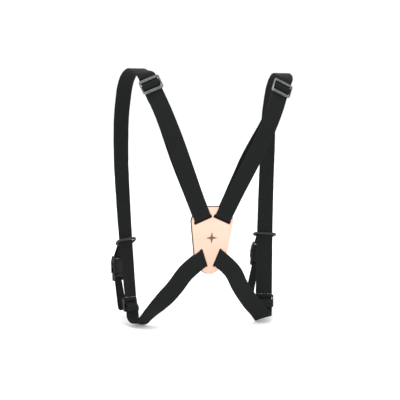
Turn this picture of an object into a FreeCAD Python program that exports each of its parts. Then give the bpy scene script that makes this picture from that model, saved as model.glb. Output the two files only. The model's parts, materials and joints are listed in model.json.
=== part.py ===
import FreeCAD, Part
import math
import os

from FreeCAD import Matrix, Placement, Vector

# X-back optics harness. Millimetres, +X to the wearer's right, +Y the way the
# wearer faces, +Z up. The origin is the middle of the back pad's inner face.

# ---- driving dimensions -------------------------------------------------
web_width = 25.0
web_thick = 1.4
layer_gap = 0.3             # between two layers of webbing
fold_gap = 0.05             # between webbing and the edge it folds round
straight_end = 3.0          # straight webbing at each end of a curved run

leather_thick = 2.4
pad_thick = 2.6
pad_rim = 0.8               # of the pad beyond the leather
channel_length = 40.0
channel_bend = 1.8
channel_flare = 1.25
channel_depth = 1.65        # the pad's channels, which hold the folded webbing
slot_length = 27.4
upper_slot_width = 4.8
lower_slot_width = 3.3
slot_corner = 0.8
plate_lead = 12.0           # webbing that lies flat beside the plate
lower_plate_lead = 8.0
skew_reach = 30.0           # along the lower webbing, to where it is square again
plate_outline = [           # right half, from the top lobe to the bottom lobe
    (8.8, 48.5), (10.6, 43.6), (29.6, 35.0), (31.2, 28.0),
    (24.4, -20.0), (14.4, -41.5), (10.6, -46.2), (4.4, -49.0),
]
star_size = 9.0
star_up = 3.5
star_depth = 0.4

upper_edge = (15.3, 32.7)   # where the upper webbing folds round the plate
upper_lean = 23.6           # degrees from upright, in the plane of the back
lower_edge = (11.7, -26.5)  # where the lower webbing folds round the plate
lower_lean = 110.3          # of the fold; the webbing leaves it at the next angle
lower_exit = 128.0

upper_adjuster_at = (96.3, 4.0, 218.4)
upper_adjuster_tilt = 22.0  # the upper adjuster leans over the shoulder
shoulder_route = [(105.6, 20.0, 234.0), (109.5, 47.0, 236.4), (113.2, 78.0, 219.0)]
front_route = [(114.6, 94.0, 180.0), (114.6, 91.7, 110.0), (111.6, 79.0, 40.0)]
front_foot = {"left": (102.2, 35.0, -121.0), "right": (102.2, 35.0, -119.4)}
foot_up = (0.06, 0.29, 0.955)  # the way the webbing rises from the foot
front_twist = {"left": -34.0, "right": -8.0}
front_yaw = {"left": 14.0, "right": 10.0}  # of the webbing's width along the front run
turn_radius = 11.0
turn_gap = 0.6              # between the two layers in the turn
turn_steps = 14
flat_from = 0.36            # of the lower run, where its twist has gone
fold_lead = 1.5
lower_run = (-0.58, -0.2, 0.79)
lower_route = [(73.0, 9.0, -101.0), (50.5, 1.2, -72.0), (34.0, -4.7, -46.0)]
inner_bow = 5.5             # how far the inner layers stand off the outer ones
lower_bow = 4.0
lower_adjuster_up = {"left": 17.6, "right": 13.6}  # from the front run's foot to the centre bar
adjuster_reach = 10.6       # from the centre bar to where the plain webbing starts
web_end_gap = 0.1
fine_steps = 40             # per stretch, when a curve is measured out

frame_width = 30.4
frame_length = 20.0
frame_low = -0.7
frame_high = 1.9
rail_width = 2.1
end_bar = 4.0
bar_radius = 1.0            # the centre bar is a flat of 2 mm between two half rounds
bar_half_flat = 1.0
rib_count = 9
rib_height = 0.35
bight_climb = 58.6          # degrees, where webbing climbs over the centre bar
bight_foot = 5.6
tail_climb = 57.7
tail_foot = 4.9
tail_return = 4.6           # where the sewn end meets the layer above it
upper_tail = 22.0           # from the centre bar to the sewn end
lower_tail = 10.0

ring_height = {"left": -8.5, "right": -3.7}
ring_tilt = {"left": 3.0, "right": 1.0}
split_below_ring = 16.0     # where the fixed front webbing ends
ring_pitch = {"left": 35.0, "right": 14.0}  # the front bar hangs lower
ring_straight = 22.4
ring_bend = 5.45
ring_wire = 1.9
ring_slack = 1.7            # behind the front webbing

drop_web_width = 10.0
web_play = 2.4              # of the narrow webbing across its windows in the buckle
drop_web_thick = 1.2
drop_forward = {"left": 12.0, "right": 20.0}
drop_down = {"left": 22.0, "right": 16.5}
drop_lean = {"left": 3.0, "right": 4.0}  # the buckle hangs to one side of its webbing
drop_shift = -4.8           # along the ring's front bar
buckle_tilt = {"left": -7.0, "right": 0.0}
buckle_width = 20.0
buckle_length = 24.0
buckle_thick = 7.6
cavity_width = 15.6
socket_pin = 1.2
cavity_thick = 4.4
plug_length = 11.4
plug_gap = 0.3
plug_neck = 5.8
latch_pivot = (5.6, -25.9)
latch_radius = 1.3
latch_fit = 0.06
plug_bar = 1.2
plug_bar_down = 8.8
lug_loop_length = 44.0
lug_lean = {"left": 8.0, "right": -3.0}
lug_loop_radius = 3.6

plate_mid = -pad_thick - leather_thick / 2
fold_radius = leather_thick / 2 + fold_gap + web_thick / 2
strap_drop = 1.5            # the webbing's middle below the adjuster's centre bar
inner_drop = strap_drop + web_thick + layer_gap
SIDES = {"left": -1.0, "right": 1.0}
UP = Vector(0, 0, 1)


# ---- small geometry -------------------------------------------------------
def unit(vector):
    return Vector(vector) / Vector(vector).Length


def lean_vector(angle):
    """A direction in the plane of the back, an angle from upright."""
    return Vector(math.sin(math.radians(angle)), 0, math.cos(math.radians(angle)))


def placed(shape, origin, x_axis, y_axis):
    """A shape built at the origin, moved so that its X and Y lie as given."""
    z_axis = x_axis.cross(y_axis)
    matrix = Matrix(x_axis.x, y_axis.x, z_axis.x, origin.x,
                    x_axis.y, y_axis.y, z_axis.y, origin.y,
                    x_axis.z, y_axis.z, z_axis.z, origin.z, 0, 0, 0, 1)
    moved = shape.copy()
    moved.Placement = Placement(matrix).multiply(moved.Placement)
    return moved


def centred_box(x, y, z, at=(0, 0, 0)):
    corner = Vector(at[0] - x / 2, at[1] - y / 2, at[2] - z / 2)
    return Part.makeBox(x, y, z, corner)


def sections_along(points, widths, thick=web_thick, width=web_width, skews=None):
    """Cross-sections of webbing at a row of points, each with the direction of its width.

    A section is square to the webbing, or slanted along its given width by its share of skew."""
    sections = []
    last = len(points) - 1
    for index, (point, given) in enumerate(zip(points, widths)):
        along = unit(points[min(index + 1, last)] - points[max(index - 1, 0)])
        across = unit(given - along * given.dot(along))
        normal = along.cross(across)
        if skews:
            slanted = given * (1 / given.dot(across))
            across = across + (slanted - across) * skews[index]
        half_w, half_t = across * (width / 2), normal * (thick / 2)
        sections.append([point + half_w + half_t, point - half_w + half_t,
                         point - half_w - half_t, point + half_w - half_t])
    return sections


def solid_through(sections):
    faces = flat_faces(sections[0]) + flat_faces(sections[-1])
    for near, far in zip(sections, sections[1:]):
        for side in range(4):
            after = (side + 1) % 4
            faces += flat_faces([near[side], near[after], far[after], far[side]])
    shell = Part.makeShell(faces)
    shell.sewShape()
    solid = Part.makeSolid(shell)
    if solid.Volume < 0:
        solid.reverse()
    return solid


def ribbon(points, widths, thick=web_thick, width=web_width, skews=None):
    return solid_through(sections_along(points, widths, thick, width, skews))


def flat_faces(corners):
    """Four corners as one flat face, or as two where they are out of plane."""
    a, b, c, d = corners
    normal = (b - a).cross(c - a)
    if abs(normal.dot(d - a)) < 1e-7 * normal.Length:
        loops = [[a, b, c, d]]
    else:
        loops = [[a, b, c], [a, c, d]]
    return [Part.Face(Part.makePolygon(loop + loop[:1])) for loop in loops]


def curve_points(through, first, final, count):
    """Even points on a smooth curve that leaves and arrives the ways given."""
    begin, finish = unit(first) * straight_end, unit(final) * straight_end
    stops = [through[0] + begin] + through[1:-1] + [through[-1] - finish]
    ways = [unit(first)]
    for before, stop, after in zip(stops, stops[1:], stops[2:]):
        back, ahead = stop - before, after - stop
        ways.append(unit(unit(back) * ahead.Length + unit(ahead) * back.Length))
    ways.append(unit(final))
    fine = []
    for index in range(len(stops) - 1):
        near, far = stops[index], stops[index + 1]
        pull = (far - near).Length
        for step in range(fine_steps):
            t = step / fine_steps
            fine.append(near * (2 * t ** 3 - 3 * t ** 2 + 1) + far * (3 * t ** 2 - 2 * t ** 3)
                        + ways[index] * (pull * t * (1 - t) ** 2)
                        + ways[index + 1] * (pull * t ** 2 * (t - 1)))
    return [through[0]] + evenly(fine + [stops[-1]], count) + [through[-1]]


def evenly(points, count):
    """Points at equal distances along a fine row of points."""
    lengths = [(b - a).Length for a, b in zip(points, points[1:])]
    spacing = sum(lengths) / (count - 1)
    chosen, walked = [points[0]], 0.0
    for start, end, length in zip(points, points[1:], lengths):
        while len(chosen) < count - 1 and len(chosen) * spacing <= walked + length:
            chosen.append(start + (end - start) * ((len(chosen) * spacing - walked) / length))
        walked += length
    return chosen + [points[-1]]


def arc(centre, radius, start, end, step=15.0):
    """Points of a 2-D arc, angles in degrees."""
    count = max(2, int(round(abs(end - start) / step)) + 1)
    angles = [start + (end - start) * i / (count - 1) for i in range(count)]
    return [(centre[0] + radius * math.cos(math.radians(a)),
             centre[1] + radius * math.sin(math.radians(a))) for a in angles]


# ---- the back plate ---------------------------------------------------------
def plate_solid(low, high, rim=0.0):
    points = [(x, z) for x, z in plate_outline]
    points += [(-x, z) for x, z in reversed(plate_outline)]
    corners = [Vector(x, low, z) for x, z in points]
    face = Part.Face(Part.makePolygon(corners + corners[:1]))
    if rim:
        face = face.makeOffset2D(rim, 2)
    solid = face.extrude(Vector(0, high - low, 0))
    upright = [e for e in solid.Edges if abs(e.tangentAt(e.FirstParameter).y) > 0.9]
    wide = [e for e in upright if abs(e.CenterOfMass.x) > 20 or e.CenterOfMass.z < -30]
    tight = [e for e in upright if not any(e.isSame(other) for other in wide)]
    solid = solid.makeFillet(4.5, wide)
    edges = [e for e in solid.Edges
             for t in tight if (e.CenterOfMass - t.CenterOfMass).Length < 0.01]
    return solid.makeFillet(1.8, edges)


def slot(edge, lean, width, side):
    """The slot beside a fold: its outer edge is the line that webbing folds round."""
    out = lean_vector(lean)
    along = Vector(out.z, 0, -out.x)
    middle = Vector(edge[0], plate_mid, edge[1]) - out * (width / 2)
    box = centred_box(slot_length, leather_thick * 4, width)
    box = box.makeFillet(slot_corner, [e for e in box.Edges
                                       if abs(e.tangentAt(e.FirstParameter).y) > 0.9])
    shape = placed(box, middle, along, Vector(0, 1, 0))
    return shape if side > 0 else shape.mirror(Vector(0, 0, 0), Vector(1, 0, 0))


def channel(edge, lean, width, side, way):
    """The pad's shallow channel, from beside the slot out to the rim along the webbing."""
    out, run = lean_vector(lean), lean_vector(way)
    half = Vector(out.z, 0, -out.x) * (slot_length / 2)
    line = Vector(edge[0], -pad_thick - channel_depth, edge[1])
    near, bend = line - out * width, line + out * channel_bend
    far = bend + run * channel_length
    corners = [near + half, near - half, bend - half, far - half * channel_flare,
               far + half * channel_flare, bend + half]
    shape = Part.Face(Part.makePolygon(corners + corners[:1])).extrude(Vector(0, 2 * channel_depth, 0))
    return shape if side > 0 else shape.mirror(Vector(0, 0, 0), Vector(1, 0, 0))


def star_points():
    points = []
    for index in range(8):
        reach = star_size if index % 2 == 0 else star_size * 0.3
        angle = math.radians(45 * index)
        points.append((reach * math.sin(angle), reach * math.cos(angle)))
    return points


def leather_plate():
    outer = -pad_thick - leather_thick
    solid = plate_solid(outer, -pad_thick)
    for side in SIDES.values():
        solid = solid.cut(slot(upper_edge, upper_lean, upper_slot_width, side))
        solid = solid.cut(slot(lower_edge, lower_lean, lower_slot_width, side))
    corners = [Vector(x, outer - 1, z + star_up) for x, z in star_points()]
    star = Part.Face(Part.makePolygon(corners + corners[:1]))
    return solid.cut(star.extrude(Vector(0, 1 + star_depth, 0)))


def back_pad():
    solid = plate_solid(-pad_thick, 0, pad_rim)
    for side in SIDES.values():
        solid = solid.cut(channel(upper_edge, upper_lean, upper_slot_width, side, upper_lean))
        solid = solid.cut(channel(lower_edge, lower_lean, lower_slot_width, side, lower_exit))
    return solid


# ---- adjusters: X across the webbing, Y along it, Z outward -------------------
def adjuster_frame():
    height = frame_high - frame_low
    middle = (frame_high + frame_low) / 2
    window_width = frame_width - 2 * rail_width
    body = centred_box(frame_width, frame_length, height, (0, 0, middle))
    corners = [e for e in body.Edges if abs(e.tangentAt(e.FirstParameter).z) > 0.9]
    body = body.makeFillet(3.0, corners)
    body = body.cut(centred_box(window_width, frame_length - 2 * end_bar, 10))
    body = body.makeFillet(0.7, [e for e in body.Edges
                                 if abs(e.CenterOfMass.z - frame_high) < 0.01
                                 or abs(e.CenterOfMass.z - frame_low) < 0.01])
    length = window_width + rail_width
    bar = centred_box(length, 2 * bar_half_flat, 2 * bar_radius)
    for y in (-bar_half_flat, bar_half_flat):
        bar = bar.fuse(Part.makeCylinder(bar_radius, length, Vector(-length / 2, y, 0),
                                         Vector(1, 0, 0)))
    ribs = []
    pitch = (window_width - 4) / (rib_count - 1)
    for sign in (-1, 1):
        at = sign * (frame_length - end_bar) / 2
        bed = centred_box(window_width, end_bar - 1.0, 2 * rib_height + 1.2, (0, at, frame_high - 0.6))
        for index in range(rib_count):
            rib = centred_box(1.1, end_bar * 2, 6)
            rib.rotate(Vector(0, 0, 0), Vector(0, 0, 1), 35)
            rib.translate(Vector((index - (rib_count - 1) / 2) * pitch, at, frame_high))
            ribs.append(rib.common(bed))
    return body.fuse([bar.removeSplitter()] + ribs).removeSplitter()


def path_ribbon(path, width=web_width, thick=web_thick):
    points = [Vector(0, along, out) for along, out in path]
    return ribbon(points, [Vector(1, 0, 0)] * len(points), thick, width)


def bight():
    """The webbing that climbs over the centre bar, under both end bars."""
    radius = bar_radius + 0.1 + web_thick + 0.1 + web_thick / 2
    left = [(-adjuster_reach, -strap_drop), (-bight_foot - 0.9, -strap_drop),
            (-bight_foot, -strap_drop + 0.3)]
    left += arc((-bar_half_flat, 0), radius, 90 + bight_climb, 90)
    return path_ribbon(left + [(-y, z) for y, z in reversed(left)])


def tail_loop(tail):
    """The webbing's own end: round the centre bar and back, sewn to itself."""
    radius = bar_radius + 0.1 + web_thick / 2
    path = [(-tail - 1, -inner_drop), (-tail_foot - 1.2, -inner_drop), (-tail_foot, -inner_drop + 0.4)]
    path += arc((-bar_half_flat, 0), radius, 90 + tail_climb, 90)
    path += arc((bar_half_flat, 0), radius, 90, -65)
    under = inner_drop + web_thick + layer_gap / 2
    path += [(-tail_return, -under + 0.15), (-tail_return - 1, -under), (-tail, -under)]
    return path_ribbon(path)


# ---- one side of the webbing --------------------------------------------------
class Side:
    """Where everything on one side goes."""

    def __init__(self, name):
        self.name = name
        self.sign = SIDES[name]
        up = lean_vector(upper_lean)
        tilt = math.radians(upper_adjuster_tilt)
        self.upper_origin = self.at(*upper_adjuster_at)
        self.upper_along = self.at(up.x * math.cos(tilt), math.sin(tilt), up.z * math.cos(tilt))
        self.upper_across = self.facing(self.at(up.z, 0, -up.x), self.upper_along, Vector(0, -1, 0))
        self.front_up = unit(self.at(*foot_up))
        self.set_turn()
        self.foot = self.at(*front_foot[name])
        self.lower_across = self.facing(self.turn_width(0), self.front_up, Vector(0, 1, 0))
        self.front_out = self.lower_across.cross(self.front_up)
        self.lower_origin = (self.foot + self.front_up * lower_adjuster_up[name]
                             + self.front_out * strap_drop)
        self.set_front()
        self.set_ring()

    def at(self, x, y, z):
        return Vector(self.sign * x, y, z)

    def facing(self, across, along, outward):
        """The width direction for which across x along points outward."""
        across = unit(across - along * across.dot(along))
        return across if across.cross(along).dot(outward) > 0 else across * -1

    def set_turn(self):
        """The floor turn: webbing bent round a slanted axis."""
        down = self.front_up * -1
        away = unit(self.at(*lower_run))
        change = down - away
        twist = math.tan(math.radians(front_twist[self.name]))
        slope = -(change.x * self.sign + change.y * twist) / change.z
        self.axis = unit(self.at(1, twist, slope))
        self.rise = down.dot(self.axis)
        self.start_along = unit(down - self.axis * self.rise)
        end_along = unit(away - self.axis * away.dot(self.axis))
        self.turn_angle = math.acos(self.start_along.dot(end_along))
        self.inward = unit(end_along - self.start_along * end_along.dot(self.start_along))
        self.away = away

    def turn_point(self, angle, radius):
        """A point of the turn, for webbing whose middle has this bend radius."""
        slant = self.rise / math.sqrt(1 - self.rise ** 2)
        centre = self.at(*front_foot[self.name]) + self.inward * turn_radius
        spoke = self.start_along * math.sin(angle) - self.inward * math.cos(angle)
        return centre + spoke * radius + self.axis * (slant * turn_radius * angle)

    def turn_width(self, angle):
        along = self.start_along * math.cos(angle) + self.inward * math.sin(angle)
        along = along * math.sqrt(1 - self.rise ** 2) + self.axis * self.rise
        return unit(self.axis - along * along.dot(self.axis))

    def set_front(self):
        """The webbing's middle line from the upper adjuster to the lower one."""
        outward = self.upper_across.cross(self.upper_along)
        reach = adjuster_reach + web_end_gap
        start = self.upper_origin + self.upper_along * reach - outward * strap_drop
        end = self.foot + self.front_up * (lower_adjuster_up[self.name] + reach)
        route = [start] + [self.at(*p) for p in shoulder_route + front_route] + [end]
        self.front_points = curve_points(route, self.upper_along, self.front_up * -1, 64)
        last = len(self.front_points) - 1
        first, final = self.outboard(self.upper_across), self.outboard(self.lower_across)
        yaw = math.radians(front_yaw[self.name])
        level = Vector(math.cos(yaw), math.sin(yaw), 0) * self.sign
        crest = max(range(last), key=lambda i: self.front_points[i].z)
        self.front_widths = []
        for index in range(last + 1):
            if index < crest:
                width = level + (first - level) * (1 - index / crest) ** 2
            else:
                width = level + (final - level) * ((index - crest) / (last - crest)) ** 2
            self.front_widths.append(width)
        self.front_sections = sections_along(self.front_points, self.front_widths)

    def outboard(self, across):
        return across if across.x * self.sign > 0 else across * -1

    def front_index(self, height):
        """The first point of the front run below a height, past the shoulder."""
        half = len(self.front_points) // 2
        return next(i for i in range(half, len(self.front_points))
                    if self.front_points[i].z < height)

    def set_ring(self):
        index = self.front_index(ring_height[self.name])
        self.ring_on_web = self.front_points[index]
        self.ring_up = unit(self.front_points[index - 1] - self.front_points[index + 1])
        width = self.front_widths[index]
        outer = unit(width - self.ring_up * width.dot(self.ring_up))
        normal = outer.cross(self.ring_up)
        normal = normal if normal.y > 0 else normal * -1
        back = web_thick / 2 + ring_slack + ring_wire
        pitch = math.radians(ring_pitch[self.name])
        tilt = math.radians(ring_tilt[self.name])
        self.ring_across = outer * math.cos(tilt) - self.ring_up * math.sin(tilt)
        down = self.ring_across.cross(normal)
        down = down if down.z < 0 else down * -1
        self.ring_out = normal * math.cos(pitch) + down * math.sin(pitch)
        self.ring_origin = self.ring_on_web - normal * back + self.ring_out * ring_bend
        right = self.ring_across * self.sign
        self.hang_at = (self.ring_origin + self.ring_out * ring_bend
                        + right * drop_shift)

    # -- pieces --
    def outer_back_web(self):
        along = self.at(*lean_vector(upper_lean))
        fold = self.at(upper_edge[0], plate_mid, upper_edge[1])
        over = Vector(0, fold_radius, 0)
        route = [fold - over, fold - over + along * plate_lead,
                 self.beside_upper(upper_tail + 4, strap_drop),
                 self.beside_upper(adjuster_reach, strap_drop)]
        points = fold_points(fold, along, over)
        points += curve_points(route, along, self.upper_along, 24)[1:]
        return ribbon(points, [self.upper_across] * len(points))

    def inner_back_web(self):
        along = self.at(*lean_vector(upper_lean))
        fold = self.at(upper_edge[0], plate_mid + fold_radius, upper_edge[1])
        start = fold + along * fold_lead
        lead = self.beside_upper(upper_tail + 6, inner_drop)
        middle = (start + lead) * 0.5 + Vector(0, inner_bow, 0)
        route = [start, fold + along * plate_lead, middle, lead,
                 self.beside_upper(upper_tail + 1, inner_drop)]
        points = curve_points(route, along, self.upper_along, 24)
        return ribbon(points, [self.upper_across] * len(points))

    def beside_upper(self, back, drop):
        """A point on the plate's side of the upper adjuster, under its centre bar's level."""
        outward = self.upper_across.cross(self.upper_along)
        return self.upper_origin - self.upper_along * (back + web_end_gap) - outward * drop

    def beside_lower(self, back, drop):
        return self.lower_origin - self.front_up * (back + web_end_gap) - self.front_out * drop

    def shoulder_web(self):
        end = self.front_index(ring_height[self.name] - split_below_ring) + 1
        return solid_through(self.front_sections[:end])

    def lower_front_web(self):
        start = self.front_index(ring_height[self.name] - split_below_ring)
        return solid_through(self.front_sections[start:])

    def lower_web(self, radius, start, plate_side, bow):
        """From the lower adjuster round the floor turn and up to the plate."""
        angles = [self.turn_angle * i / (turn_steps - 1) for i in range(turn_steps)]
        turn = [self.turn_point(a, radius) for a in angles]
        widths = [self.lower_across] * 2 + [self.facing_width(a) for a in angles[1:]]
        slot_out, out = self.at(*lean_vector(lower_lean)), self.at(*lean_vector(lower_exit))
        fold = self.at(lower_edge[0], plate_mid + plate_side * fold_radius, lower_edge[1])
        lead = fold_lead / out.dot(slot_out) + web_end_gap
        end = fold + out * (lead if plate_side > 0 else 0)
        route = [turn[-1]] + [self.at(x, y + bow, z) for x, y, z in lower_route]
        route += [fold + out * lower_plate_lead, end]
        run = curve_points(route, self.away, out * -1, 30)[1:]
        last = self.away.cross(widths[-1])
        flat = Vector(0, 1 if last.y > 0 else -1, 0)
        skews = [0.0] * len(widths)
        slant = slot_out.cross(flat)
        for index, (before, after) in enumerate(zip([turn[-1]] + run, run[1:] + run[-1:])):
            share = min(1.0, index / (flat_from * len(run)))
            normal = last + (flat - last) * share
            square = unit(normal.cross(unit(after - before)) * -1)
            reached = (run[index] - run[-1]).Length
            skew = max(0.0, 1 - reached / skew_reach) ** 2
            given = slant if slant.dot(square) > 0 else slant * -1
            widths.append(given if skew > 0 else square)
            skews.append(skew)
        return [start] + turn + run, widths, skews

    def facing_width(self, angle):
        width = self.turn_width(angle)
        return width if self.turn_width(0).dot(self.lower_across) > 0 else width * -1

    def lower_outer_web(self):
        start = self.beside_lower(adjuster_reach, strap_drop)
        points, widths, skews = self.lower_web(turn_radius, start, -1, 0)
        out = self.at(*lean_vector(lower_lean))
        fold = self.at(lower_edge[0], plate_mid, lower_edge[1])
        bend = list(reversed(fold_points(fold, out, Vector(0, fold_radius, 0))))[1:]
        widths += [widths[-1]] * len(bend)
        return ribbon(points + bend, widths, skews=skews + [0.0] * len(bend))

    def lower_inner_web(self):
        start = self.beside_lower(lower_tail + 1, inner_drop)
        points, widths, skews = self.lower_web(turn_radius - web_thick - turn_gap, start, 1, lower_bow)
        return ribbon(points, widths, skews=skews)

    def upper(self, shape):
        return placed(shape, self.upper_origin, self.upper_across, self.upper_along)

    def lower(self, shape):
        return placed(shape, self.lower_origin, self.lower_across, self.front_up)

    def ring(self):
        return placed(chest_ring(), self.ring_origin, self.ring_across, self.ring_out)

    def hang(self, shape):
        """Pieces below the ring: X across, Y forward, Z up, from the ring's front bar."""
        across = self.ring_across * self.sign
        return placed(shape, self.hang_at, across, unit(UP.cross(across)))

    def buckle(self, shape):
        moved = shape.copy()
        moved.rotate(Vector(0, 0, 0), Vector(1, 0, 0), buckle_tilt[self.name])
        place = Vector(drop_lean[self.name], drop_forward[self.name], -drop_down[self.name])
        moved.translate(place)
        return self.hang(moved)


def fold_points(fold, along, over):
    """Half a turn round the plate's edge, from the inner side to the outer."""
    points = [fold + over + along * fold_lead]
    for index in range(7):
        angle = math.pi * index / 6
        points.append(fold + over * math.cos(angle) - along * (over.Length * math.sin(angle)))
    return points


# ---- ring and drop ------------------------------------------------------------
def chest_ring():
    """A long ring in the X-Y plane."""
    half = ring_straight / 2
    shape = None
    for sign in (-1, 1):
        bar = Part.makeCylinder(ring_wire, ring_straight, Vector(-half, sign * ring_bend, 0),
                                Vector(1, 0, 0))
        circle = Part.Wire(Part.makeCircle(ring_wire, Vector(sign * half, ring_bend, 0),
                                           Vector(1, 0, 0)))
        end = Part.Face(circle).revolve(Vector(sign * half, 0, 0), Vector(0, 0, -sign), 180)
        for piece in (bar, end):
            shape = piece if shape is None else shape.fuse(piece)
    return shape.removeSplitter()


def belt(start, end, r_start, r_end, width):
    """A solid shaped like a belt round two pins; X across."""
    dy, dz = end[0] - start[0], end[1] - start[1]
    reach = math.hypot(dy, dz)
    heading = math.degrees(math.atan2(dz, dy))
    spread = math.degrees(math.acos((r_start - r_end) / reach))
    first = arc(start, r_start, heading + spread, heading + 360 - spread, 20)
    second = arc(end, r_end, heading - spread, heading + spread, 20)
    corners = [Vector(-width / 2, y, z) for y, z in first + second]
    face = Part.Face(Part.makePolygon(corners + corners[:1]))
    return face.extrude(Vector(width, 0, 0))


def web_belt(start, end, pin_start, pin_end):
    inner = belt(start, end, pin_start, pin_end, drop_web_width + 2)
    outer = belt(start, end, pin_start + drop_web_thick, pin_end + drop_web_thick, drop_web_width)
    return outer.cut(inner)


def leaning(shape, top, shift, drop):
    """A shape sheared sideways, by a shift that it reaches at a drop below its top."""
    slope = -shift / drop
    shear = Matrix(1, 0, slope, -slope * top, 0, 1, 0, 0, 0, 0, 1, 0, 0, 0, 0, 1)
    return shape.transformGeometry(shear)


def drop_web(forward, down, shift):
    shape = web_belt((0, 0), (forward, -down), ring_wire + 0.25, socket_pin + 0.15)
    return leaning(shape, 0, shift, down)


def buckle_socket():
    top = 1.2
    shoulder = -7.0
    outline = [(-7.6, top), (7.6, top), (buckle_width / 2, shoulder), (buckle_width / 2, -buckle_length),
               (-buckle_width / 2, -buckle_length), (-buckle_width / 2, shoulder)]
    corners = [Vector(x, -buckle_thick / 2, z) for x, z in outline]
    body = Part.Face(Part.makePolygon(corners + corners[:1])).extrude(Vector(0, buckle_thick, 0))
    rims = [e for e in body.Edges if abs(abs(e.CenterOfMass.y) - buckle_thick / 2) < 0.01
            and e.CenterOfMass.z > -buckle_length + 1]
    body = body.makeFillet(1.1, rims)
    body = body.cut(centred_box(drop_web_width + web_play, 20, 6.2, (0, 0, 0)))
    pin = Part.makeCylinder(socket_pin, 15.2, Vector(-7.6, 0, 0), Vector(1, 0, 0))
    depth = buckle_length - 7.2
    cavity = centred_box(cavity_width, cavity_thick, depth + 2, (0, 0, -7.2 - depth / 2 - 1))
    body = body.cut(cavity).cut(latch_window())
    return body.fuse(pin.common(centred_box(15.2, 20, 20))).removeSplitter()


def latch_window():
    """Side openings that narrow towards the mouth, where the arms ramp inward."""
    shape = None
    high = cavity_thick
    for sign in (-1, 1):
        outline = [(sign * 5, -8.2), (sign * 14, -8.2), (sign * 14, -16.4),
                   (sign * 11.2, -16.4), (sign * 9.4, -buckle_length - 1),
                   (sign * 5, -buckle_length - 1)]
        corners = [Vector(x, -high / 2, z) for x, z in outline]
        piece = Part.Face(Part.makePolygon(corners + corners[:1])).extrude(Vector(0, high, 0))
        shape = piece if shape is None else shape.fuse(piece)
    return shape


def buckle_plug():
    top = -buckle_length - plug_gap
    body = centred_box(17.6, 6.4, plug_length, (0, 0, top - plug_length / 2))
    body = body.makeFillet(1.0, body.Edges)
    bar = Part.makeCylinder(plug_bar, 15, Vector(-7.5, 0, top - plug_bar_down), Vector(1, 0, 0))
    below = plug_length - plug_neck
    body = body.cut(centred_box(drop_web_width + web_play, 20, below * 2, (0, 0, top - plug_length)))
    prong = centred_box(3.6, 2.8, 9.0, (0, 0, top + 3.5))
    body = body.fuse([bar, prong])
    for sign in (-1, 1):
        hole = Part.makeCylinder(latch_radius + latch_fit, 10,
                                 Vector(sign * latch_pivot[0], -5, latch_pivot[1]), Vector(0, 1, 0))
        notch = centred_box(4.4, 10, 2.4, (sign * (latch_pivot[0] - 0.55), 0, top))
        body = body.cut(hole).cut(notch)
    return body.removeSplitter()


def latch_arm(sign):
    """A squeeze arm, with its pad in the socket's side opening."""
    x, z = latch_pivot
    outline = [(x - 1.0, z), (x - 0.4, -10.0), (x + 0.6, -9.0), (10.9, -11.4), (10.9, -15.0),
               (7.5, -17.2), (x + 1.2, -20.0), (x + 1.2, z)]
    corners = [Vector(sign * px, -1.6, pz) for px, pz in outline]
    arm = Part.Face(Part.makePolygon(corners + corners[:1])).extrude(Vector(0, 3.2, 0))
    root = Part.makeCylinder(latch_radius, 3.2, Vector(sign * x, -1.6, z), Vector(0, 1, 0))
    return arm.fuse(root).removeSplitter()


def lug_web(shift):
    start = (0, -buckle_length - plug_gap - plug_bar_down)
    end = (1.5, start[1] - lug_loop_length)
    shape = web_belt(start, end, plug_bar + 0.15, lug_loop_radius)
    return leaning(shape, start[1], shift, lug_loop_length)


# ---- all nodes ------------------------------------------------------------------
def build():
    nodes = {"leather_plate": leather_plate(), "back_pad": back_pad()}
    frame = adjuster_frame()
    over = bight()
    for name in SIDES:
        side = Side(name)
        nodes[name + "_outer_back_web"] = side.outer_back_web()
        nodes[name + "_inner_back_web"] = side.inner_back_web()
        nodes[name + "_upper_adjuster"] = side.upper(frame)
        nodes[name + "_upper_bight"] = side.upper(over)
        nodes[name + "_upper_tail_loop"] = side.upper(tail_loop(upper_tail))
        nodes[name + "_shoulder_web"] = side.shoulder_web()
        nodes[name + "_lower_front_web"] = side.lower_front_web()
        nodes[name + "_lower_adjuster"] = side.lower(frame)
        nodes[name + "_lower_bight"] = side.lower(over)
        nodes[name + "_lower_tail_loop"] = side.lower(tail_loop(lower_tail))
        nodes[name + "_lower_outer_web"] = side.lower_outer_web()
        nodes[name + "_lower_inner_web"] = side.lower_inner_web()
        nodes[name + "_chest_ring"] = side.ring()
        nodes[name + "_drop_web"] = side.hang(drop_web(drop_forward[name], drop_down[name],
                                                   drop_lean[name]))
        nodes[name + "_buckle_socket"] = side.buckle(buckle_socket())
        nodes[name + "_buckle_plug"] = side.buckle(buckle_plug())
        nodes[name + "_rear_latch_arm"] = side.buckle(latch_arm(-1))
        nodes[name + "_front_latch_arm"] = side.buckle(latch_arm(1))
        nodes[name + "_lug_web"] = side.buckle(lug_web(lug_lean[name]))
    return nodes


os.makedirs("parts", exist_ok=True)
for node, shape in build().items():
    if not shape.isValid() or len(shape.Solids) != 1:
        print("check", node, "valid", shape.isValid(), "solids", len(shape.Solids))
    shape.exportStep("parts/" + node + ".step")
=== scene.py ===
import json
import math

import bmesh
import bpy
import numpy as np
from mathutils import Matrix, Vector
from mathutils.geometry import delaunay_2d_cdt


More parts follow.
